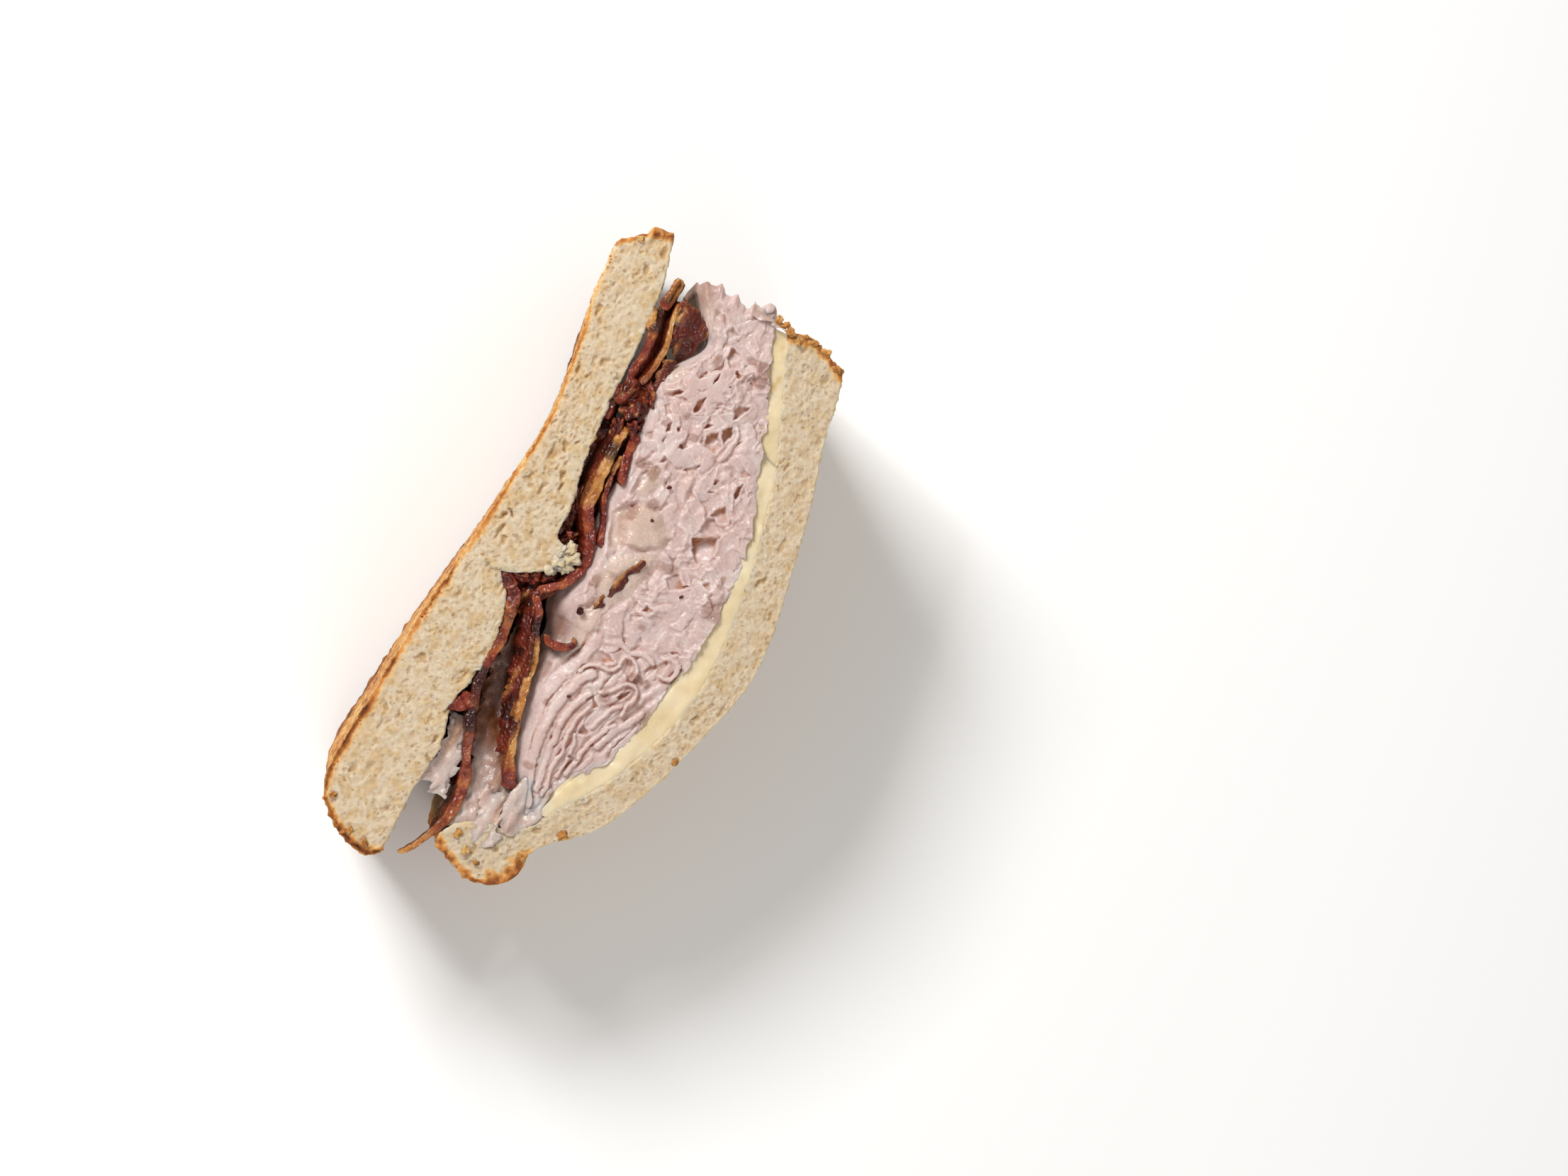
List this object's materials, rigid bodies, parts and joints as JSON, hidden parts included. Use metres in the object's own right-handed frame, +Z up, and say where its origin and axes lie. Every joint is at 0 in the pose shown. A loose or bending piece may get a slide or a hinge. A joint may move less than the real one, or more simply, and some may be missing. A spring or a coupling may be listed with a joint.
{
  "type": "turkey sandwich",
  "caption": "Cut half of a grilled white-bread sandwich with shaved turkey, bacon and pale cheese, lying on its crust edge with the cut face up.",
  "frame": {"origin": "middle of the sandwich's base, on the surface it lies on", "axes": "+X along the cut towards the half's deeper end, +Y across the layers towards the grilled slice, +Z up; the cut face looks up and rises about 8 degrees towards +X"},
  "size_m": [0.1364, 0.0634, 0.066],
  "materials": {
    "bread_grilled": "cream crumb with open pores, browned crust and darker grill lines on its outer face",
    "bread_soft": "pale beige crumb, lightly browned crust, hardly toasted outside",
    "cheese": "smooth pale yellow, softly shining, a little melted",
    "turkey": "moist pale pink folds of shaved breast with small highlights",
    "bacon": "crisp dark red-brown with paler bubbled fat edges, greasy shine"
  },
  "bodies": {
    "root": {"bread_top": "bread_grilled", "bread_bottom": "bread_soft", "cheese_upper": "cheese", "cheese_lower": "cheese", "turkey": "turkey", "turkey_sheet_low": "turkey", "turkey_sheet_side": "turkey", "bacon_long": "bacon", "bacon_hanging": "bacon", "bacon_upper": "bacon", "bacon_broad": "bacon", "bacon_knot": "bacon", "bacon_short": "bacon", "bacon_under": "bacon", "bacon_bit_slanted": "bacon", "bacon_bit_curled": "bacon"}
  },
  "joints": []
}
